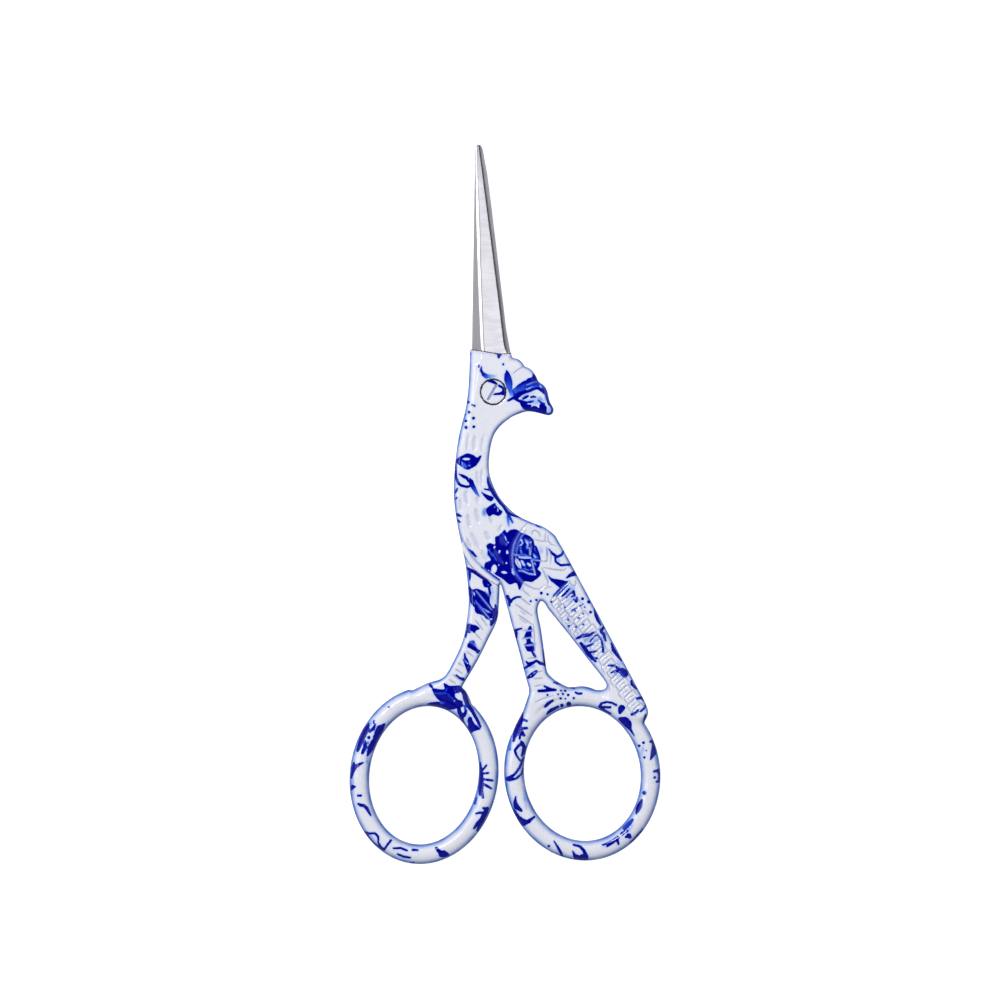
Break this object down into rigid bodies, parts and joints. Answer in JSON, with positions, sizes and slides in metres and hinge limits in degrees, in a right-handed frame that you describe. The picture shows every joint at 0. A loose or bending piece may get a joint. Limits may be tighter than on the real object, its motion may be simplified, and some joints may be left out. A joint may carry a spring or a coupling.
{
  "type": "embroidery scissors",
  "caption": "Small pointed embroidery scissors with enamelled handles shaped as a long-necked animal whose legs end in finger bows.",
  "frame": {"origin": "on the pivot screw's axis, in the flat plane of the back that the closed scissors rest on", "axes": "+X to the right across the scissors, +Y towards the points of the blades, +Z from the back towards the front face"},
  "size_m": [0.0499, 0.1154, 0.0041],
  "materials": {
    "ground_steel": "bright ground steel with fine grinding lines along the blade",
    "printed_enamel": "glossy pale enamel over steel with a cobalt blue flower and leaf print in the way of blue and white porcelain"
  },
  "bodies": {
    "rear_half": {"rear_blade": "ground_steel", "rear_handle": "printed_enamel", "pivot_screw": "printed_enamel"},
    "front_half": {"front_blade": "ground_steel", "front_handle": "printed_enamel"}
  },
  "joints": [
    {"name": "pivot", "type": "hinge", "parent": "rear_half", "child": "front_half", "pos_m": [0, 0, 0.00205], "axis": [0, 0, 1], "range_deg": [0, 75]}
  ]
}
